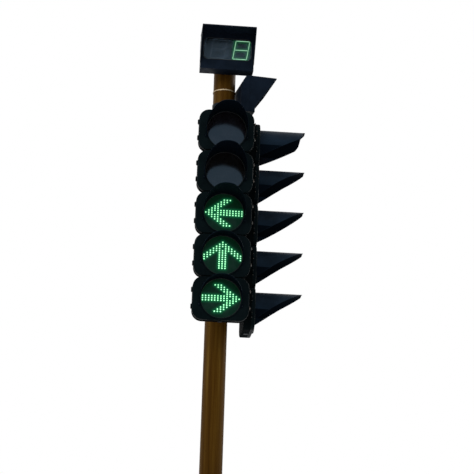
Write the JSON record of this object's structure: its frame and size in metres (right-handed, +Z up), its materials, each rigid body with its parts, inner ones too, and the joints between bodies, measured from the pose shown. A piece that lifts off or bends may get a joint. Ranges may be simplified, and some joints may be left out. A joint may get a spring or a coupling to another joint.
{
  "type": "traffic signal head",
  "caption": "Pole-mounted traffic signal: front and side columns of round lamp sections with cut-away visors and hinged doors, a hooded countdown timer above each.",
  "frame": {"origin": "centre of the underside of the pole's base flange", "axes": "+Z up along the pole; the front head and front timer face -Y; the side head and side timer face +X"},
  "size_m": [0.8465, 0.9147, 3.454],
  "materials": {
    "pole_paint": "weathered brown paint with vertical streaks",
    "bare_steel": "worn bare steel ring",
    "bracket_paint": "black powder coat, chipped at edges",
    "fastener_steel": "zinc plated, dulled",
    "coupler_plastic": "black moulded plastic",
    "housing_plastic": "black moulded polycarbonate, fine grain, dusty",
    "door_plastic": "black moulded polycarbonate, satin",
    "visor_plastic": "black sheet plastic, satin outside, dull inside",
    "lens_red": "smoked red-tinted glossy cover",
    "lens_yellow": "smoked amber-tinted glossy cover",
    "lens_green": "smoked clear cover lit by green light-emitting diodes",
    "timer_paint": "black powder-coated sheet steel",
    "timer_window": "smoked grey clear sheet",
    "circuit_board": "dark circuit board"
  },
  "bodies": {
    "mast": {"base_flange": "pole_paint", "pole_lower_tube": "pole_paint", "pole_upper_tube": "pole_paint", "pole_joint_collar": "bare_steel", "pole_cap": "pole_paint", "front_head_arms": "bracket_paint", "side_head_arms": "bracket_paint", "pole_clamp_bands": "bracket_paint", "timer_saddles": "bracket_paint", "bracket_bolts": "fastener_steel", "hinge_pins": "fastener_steel", "section_couplers": "coupler_plastic", "front_timer_case": "timer_paint", "front_timer_hood": "timer_paint", "front_timer_window": "timer_window", "front_timer_board": "circuit_board", "side_timer_case": "timer_paint", "side_timer_hood": "timer_paint", "side_timer_window": "timer_window", "side_timer_board": "circuit_board", "front_housing_1": "housing_plastic", "front_housing_2": "housing_plastic", "front_housing_3": "housing_plastic", "front_housing_4": "housing_plastic", "front_housing_5": "housing_plastic", "side_housing_1": "housing_plastic", "side_housing_2": "housing_plastic", "side_housing_3": "housing_plastic", "side_housing_4": "housing_plastic", "side_housing_5": "housing_plastic"},
    "front_leaf_1": {"front_door_1": "door_plastic", "front_lens_1": "lens_red", "front_visor_1": "visor_plastic"},
    "front_leaf_2": {"front_door_2": "door_plastic", "front_lens_2": "lens_yellow", "front_visor_2": "visor_plastic"},
    "front_leaf_3": {"front_door_3": "door_plastic", "front_lens_3": "lens_green", "front_visor_3": "visor_plastic"},
    "front_leaf_4": {"front_door_4": "door_plastic", "front_lens_4": "lens_green", "front_visor_4": "visor_plastic"},
    "front_leaf_5": {"front_door_5": "door_plastic", "front_lens_5": "lens_green", "front_visor_5": "visor_plastic"},
    "side_leaf_1": {"side_door_1": "door_plastic", "side_lens_1": "lens_red", "side_visor_1": "visor_plastic"},
    "side_leaf_2": {"side_door_2": "door_plastic", "side_lens_2": "lens_yellow", "side_visor_2": "visor_plastic"},
    "side_leaf_3": {"side_door_3": "door_plastic", "side_lens_3": "lens_green", "side_visor_3": "visor_plastic"},
    "side_leaf_4": {"side_door_4": "door_plastic", "side_lens_4": "lens_green", "side_visor_4": "visor_plastic"},
    "side_leaf_5": {"side_door_5": "door_plastic", "side_lens_5": "lens_green", "side_visor_5": "visor_plastic"}
  },
  "joints": [
    {"name": "front_door_1_hinge", "type": "hinge", "parent": "mast", "child": "front_leaf_1", "pos_m": [-0.209, -0.38325, 2.59], "axis": [0, 0, -1], "range_deg": [0, 100]},
    {"name": "front_door_2_hinge", "type": "hinge", "parent": "mast", "child": "front_leaf_2", "pos_m": [-0.209, -0.38325, 2.27], "axis": [0, 0, -1], "range_deg": [0, 100]},
    {"name": "front_door_3_hinge", "type": "hinge", "parent": "mast", "child": "front_leaf_3", "pos_m": [-0.209, -0.38325, 1.95], "axis": [0, 0, -1], "range_deg": [0, 100]},
    {"name": "front_door_4_hinge", "type": "hinge", "parent": "mast", "child": "front_leaf_4", "pos_m": [-0.209, -0.38325, 1.63], "axis": [0, 0, -1], "range_deg": [0, 100]},
    {"name": "front_door_5_hinge", "type": "hinge", "parent": "mast", "child": "front_leaf_5", "pos_m": [-0.209, -0.38325, 1.31], "axis": [0, 0, -1], "range_deg": [0, 100]},
    {"name": "side_door_1_hinge", "type": "hinge", "parent": "mast", "child": "side_leaf_1", "pos_m": [0.24425, -0.209, 2.59], "axis": [0, 0, -1], "range_deg": [0, 100]},
    {"name": "side_door_2_hinge", "type": "hinge", "parent": "mast", "child": "side_leaf_2", "pos_m": [0.24425, -0.209, 2.27], "axis": [0, 0, -1], "range_deg": [0, 100]},
    {"name": "side_door_3_hinge", "type": "hinge", "parent": "mast", "child": "side_leaf_3", "pos_m": [0.24425, -0.209, 1.95], "axis": [0, 0, -1], "range_deg": [0, 100]},
    {"name": "side_door_4_hinge", "type": "hinge", "parent": "mast", "child": "side_leaf_4", "pos_m": [0.24425, -0.209, 1.63], "axis": [0, 0, -1], "range_deg": [0, 100]},
    {"name": "side_door_5_hinge", "type": "hinge", "parent": "mast", "child": "side_leaf_5", "pos_m": [0.24425, -0.209, 1.31], "axis": [0, 0, -1], "range_deg": [0, 100]}
  ]
}
